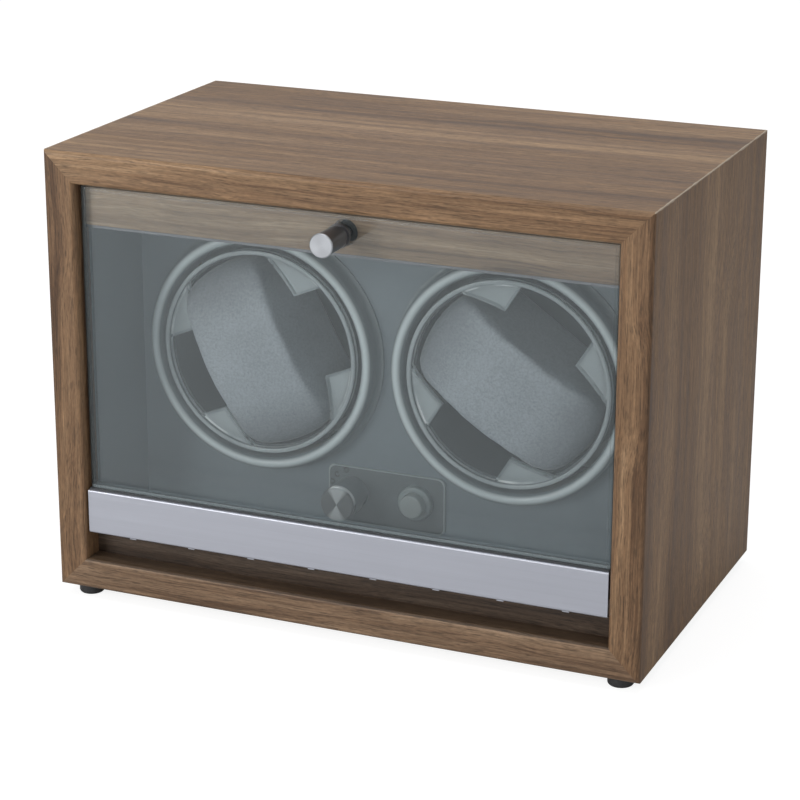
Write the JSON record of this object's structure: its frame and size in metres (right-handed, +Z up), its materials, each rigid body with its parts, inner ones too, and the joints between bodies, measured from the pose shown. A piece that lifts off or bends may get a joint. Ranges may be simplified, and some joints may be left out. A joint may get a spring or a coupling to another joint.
{
  "type": "watch winder box",
  "caption": "Wooden box with a drop-down glass door, round watch rotors with pillows, a mode knob and a push button.",
  "frame": {"origin": "centre of the whole part in plan, on the plane the four feet stand on", "axes": "+X to the right seen from the front, +Y to the back of the case, +Z up"},
  "size_m": [0.29, 0.188, 0.2175],
  "materials": {
    "walnut": "matte laminate with straight grain",
    "back_board": "matt black painted board",
    "dark_screw": "blackened",
    "black_rubber": "satin",
    "steel": "bright",
    "silver_trim": "satin",
    "grey_lining": "fine grain",
    "glass": "clear with ground bevel",
    "brushed_aluminium": "brushed lengthways",
    "white_plastic": "natural acetal",
    "gunmetal": "satin gunmetal",
    "turned_aluminium": "turned",
    "grey_bezel": "satin",
    "black_plastic": "fine grain",
    "clear_plastic": "clear",
    "grey_leatherette": "soft satin leatherette",
    "bronze": "sintered bronze",
    "motor_case": "zinc plated",
    "brass": "machined",
    "plated_steel": "zinc plated",
    "dark_plate": "satin anodised",
    "chrome_ring": "polished",
    "grey_button": "satin",
    "circuit_board": "solder resist",
    "cable_black": "satin",
    "cable_red": "satin"
  },
  "bodies": {
    "case": {"top_board": "walnut", "bottom_board": "walnut", "left_board": "walnut", "right_board": "walnut", "back_panel": "back_board", "back_screws": "dark_screw", "feet": "black_rubber", "foot_screws": "steel", "valance": "walnut", "valance_trim": "silver_trim", "catch_magnet": "steel", "door_sill": "walnut", "interior_lining": "grey_lining", "baffle": "grey_lining", "hinge_pins": "steel", "bezel_left": "grey_bezel", "bezel_right": "grey_bezel", "bearing_bushes": "bronze", "gearmotor_left": "motor_case", "gearmotor_right": "motor_case", "motor_plate": "plated_steel", "plate_posts": "plated_steel", "plate_screws": "dark_screw", "control_plate": "dark_plate", "mode_switch": "black_plastic", "button_collar": "dark_plate", "power_switch": "black_plastic", "button_spring": "steel", "control_board": "circuit_board", "dc_inlet": "black_plastic", "dc_nut": "steel", "dc_lead": "cable_black", "motor_leads": "cable_red"},
    "door": {"glass_pane": "glass", "door_channel": "brushed_aluminium", "glass_gasket": "black_rubber", "hinge_blocks": "white_plastic", "door_knob": "gunmetal", "knob_face": "turned_aluminium", "knob_washer": "black_rubber", "knob_screw": "steel"},
    "rotor_left": {"rotor_drum_left": "black_plastic", "rotor_cup_left": "clear_plastic", "rotor_gear_left": "white_plastic", "rotor_shaft_left": "steel", "shaft_clip_left": "steel"},
    "pillow_left": {"pillow_left": "grey_leatherette"},
    "pinion_left": {"pinion_left": "brass"},
    "rotor_right": {"rotor_drum_right": "black_plastic", "rotor_cup_right": "clear_plastic", "rotor_gear_right": "white_plastic", "rotor_shaft_right": "steel", "shaft_clip_right": "steel"},
    "pillow_right": {"pillow_right": "grey_leatherette"},
    "pinion_right": {"pinion_right": "brass"},
    "mode_knob": {"mode_spindle": "steel", "mode_knob": "black_plastic", "mode_knob_ring": "chrome_ring", "mode_knob_cap": "turned_aluminium"},
    "power_button": {"power_button": "grey_button"}
  },
  "joints": [
    {"name": "door_hinge", "type": "hinge", "parent": "case", "child": "door", "pos_m": [0, -0.0717, 0.0381], "axis": [1, 0, 0], "range_deg": [0, 90]},
    {"name": "rotor_left_spin", "type": "hinge", "parent": "case", "child": "rotor_left", "pos_m": [-0.0624, 0.022, 0.1169], "axis": [0, 1, 0], "continuous": true},
    {"name": "rotor_right_spin", "type": "hinge", "parent": "case", "child": "rotor_right", "pos_m": [0.0624, 0.022, 0.1169], "axis": [0, 1, 0], "continuous": true},
    {"name": "pinion_left_spin", "type": "hinge", "parent": "case", "child": "pinion_left", "pos_m": [-0.0624, 0.025, 0.0749], "axis": [0, 1, 0], "continuous": true},
    {"name": "pinion_right_spin", "type": "hinge", "parent": "case", "child": "pinion_right", "pos_m": [0.0624, 0.025, 0.0749], "axis": [0, 1, 0], "continuous": true},
    {"name": "pillow_left_slide", "type": "slide", "parent": "rotor_left", "child": "pillow_left", "axis": [0, -1, 0], "range_m": [-0.0035, 0.0215]},
    {"name": "pillow_right_slide", "type": "slide", "parent": "rotor_right", "child": "pillow_right", "axis": [0, -1, 0], "range_m": [0, 0.025]},
    {"name": "mode_knob_turn", "type": "hinge", "parent": "case", "child": "mode_knob", "pos_m": [-0.018, -0.028, 0.0508], "axis": [0, 1, 0], "range_deg": [-60, 60]},
    {"name": "power_button_press", "type": "slide", "parent": "case", "child": "power_button", "axis": [0, 1, 0], "range_m": [0, 0.002], "stiffness_N_per_m": 300, "springref_m": -0.002, "deforming": ["button_spring"]}
  ],
  "couplings": [
    {"joint": "pinion_left_spin", "follows": "rotor_left_spin", "ratio": -2.5},
    {"joint": "pinion_right_spin", "follows": "rotor_right_spin", "ratio": -2.5}
  ]
}
